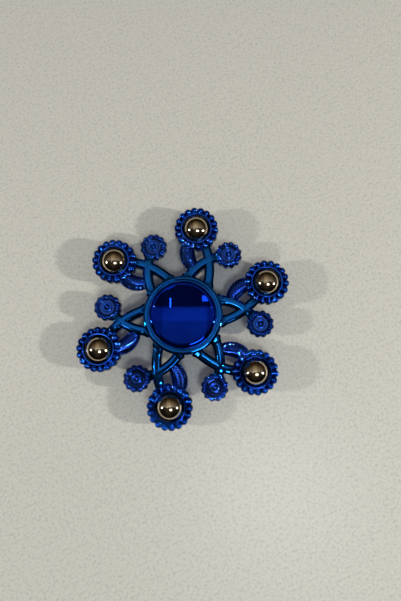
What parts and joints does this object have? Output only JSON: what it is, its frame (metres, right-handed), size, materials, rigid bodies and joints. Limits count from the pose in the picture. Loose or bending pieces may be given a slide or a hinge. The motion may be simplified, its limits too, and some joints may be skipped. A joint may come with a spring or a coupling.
{
  "type": "fidget spinner",
  "caption": "Flat hand spinner: a plated openwork casting with beaded ball rings, leaves and rosettes, free on a shielded ball bearing between dished finger caps.",
  "frame": {"origin": "centre of the bearing, on the middle plane of the casting", "axes": "+Z along the spin axis, +X through the centre of the first steel ball"},
  "size_m": [0.0752, 0.0672, 0.0124],
  "materials": {
    "plated_blue_casting": "mirror-bright blue electroplate on a die casting",
    "plated_blue_cap": "mirror-bright deep blue electroplate",
    "polished_steel_ball": "mirror-polished steel",
    "bearing_steel": "ground steel",
    "pressed_steel": "pressed sheet steel"
  },
  "bodies": {
    "core": {"finger_cap_upper": "plated_blue_cap", "finger_cap_lower": "plated_blue_cap", "inner_race": "bearing_steel"},
    "rotor": {"frame": "plated_blue_casting", "outer_race": "bearing_steel", "shield_upper": "pressed_steel", "shield_lower": "pressed_steel"},
    "cage": {"cage_upper": "pressed_steel", "cage_lower": "pressed_steel", "cage_rivets": "pressed_steel"},
    "bearing_ball_1": {"bearing_ball_1": "bearing_steel"},
    "bearing_ball_2": {"bearing_ball_2": "bearing_steel"},
    "bearing_ball_3": {"bearing_ball_3": "bearing_steel"},
    "bearing_ball_4": {"bearing_ball_4": "bearing_steel"},
    "bearing_ball_5": {"bearing_ball_5": "bearing_steel"},
    "bearing_ball_6": {"bearing_ball_6": "bearing_steel"},
    "bearing_ball_7": {"bearing_ball_7": "bearing_steel"},
    "steel_ball_1": {"steel_ball_1": "polished_steel_ball"},
    "steel_ball_2": {"steel_ball_2": "polished_steel_ball"},
    "steel_ball_3": {"steel_ball_3": "polished_steel_ball"},
    "steel_ball_4": {"steel_ball_4": "polished_steel_ball"},
    "steel_ball_5": {"steel_ball_5": "polished_steel_ball"},
    "steel_ball_6": {"steel_ball_6": "polished_steel_ball"}
  },
  "joints": [
    {"name": "spin", "type": "hinge", "parent": "core", "child": "rotor", "pos_m": [0, 0, 0], "axis": [0, 0, 1], "continuous": true},
    {"name": "cage_orbit", "type": "hinge", "parent": "core", "child": "cage", "pos_m": [0, 0, 0], "axis": [0, 0, 1], "continuous": true},
    {"name": "bearing_ball_1_roll", "type": "hinge", "parent": "cage", "child": "bearing_ball_1", "pos_m": [0.0075, 0, 0], "axis": [0, 0, 1], "continuous": true},
    {"name": "bearing_ball_2_roll", "type": "hinge", "parent": "cage", "child": "bearing_ball_2", "pos_m": [0.00468, 0.00586, 0], "axis": [0, 0, 1], "continuous": true},
    {"name": "bearing_ball_3_roll", "type": "hinge", "parent": "cage", "child": "bearing_ball_3", "pos_m": [-0.00167, 0.00731, 0], "axis": [0, 0, 1], "continuous": true},
    {"name": "bearing_ball_4_roll", "type": "hinge", "parent": "cage", "child": "bearing_ball_4", "pos_m": [-0.00676, 0.00325, 0], "axis": [0, 0, 1], "continuous": true},
    {"name": "bearing_ball_5_roll", "type": "hinge", "parent": "cage", "child": "bearing_ball_5", "pos_m": [-0.00676, -0.00325, 0], "axis": [0, 0, 1], "continuous": true},
    {"name": "bearing_ball_6_roll", "type": "hinge", "parent": "cage", "child": "bearing_ball_6", "pos_m": [-0.00167, -0.00731, 0], "axis": [0, 0, 1], "continuous": true},
    {"name": "bearing_ball_7_roll", "type": "hinge", "parent": "cage", "child": "bearing_ball_7", "pos_m": [0.00468, -0.00586, 0], "axis": [0, 0, 1], "continuous": true},
    {"name": "steel_ball_1_roll", "type": "hinge", "parent": "rotor", "child": "steel_ball_1", "pos_m": [0.03, 0, 0], "axis": [1, 0, 0], "continuous": true},
    {"name": "steel_ball_2_roll", "type": "hinge", "parent": "rotor", "child": "steel_ball_2", "pos_m": [0.015, 0.02598, 0], "axis": [0.5, 0.866, 0], "continuous": true},
    {"name": "steel_ball_3_roll", "type": "hinge", "parent": "rotor", "child": "steel_ball_3", "pos_m": [-0.015, 0.02598, 0], "axis": [-0.5, 0.866, 0], "continuous": true},
    {"name": "steel_ball_4_roll", "type": "hinge", "parent": "rotor", "child": "steel_ball_4", "pos_m": [-0.03, 0, 0], "axis": [-1, 0, 0], "continuous": true},
    {"name": "steel_ball_5_roll", "type": "hinge", "parent": "rotor", "child": "steel_ball_5", "pos_m": [-0.015, -0.02598, 0], "axis": [-0.5, -0.866, 0], "continuous": true},
    {"name": "steel_ball_6_roll", "type": "hinge", "parent": "rotor", "child": "steel_ball_6", "pos_m": [0.015, -0.02598, 0], "axis": [0.5, -0.866, 0], "continuous": true}
  ],
  "couplings": [
    {"joint": "cage_orbit", "follows": "spin", "ratio": 0.6323},
    {"joint": "bearing_ball_1_roll", "follows": "spin", "ratio": 1.7573},
    {"joint": "bearing_ball_2_roll", "follows": "spin", "ratio": 1.7573},
    {"joint": "bearing_ball_3_roll", "follows": "spin", "ratio": 1.7573},
    {"joint": "bearing_ball_4_roll", "follows": "spin", "ratio": 1.7573},
    {"joint": "bearing_ball_5_roll", "follows": "spin", "ratio": 1.7573},
    {"joint": "bearing_ball_6_roll", "follows": "spin", "ratio": 1.7573},
    {"joint": "bearing_ball_7_roll", "follows": "spin", "ratio": 1.7573}
  ]
}
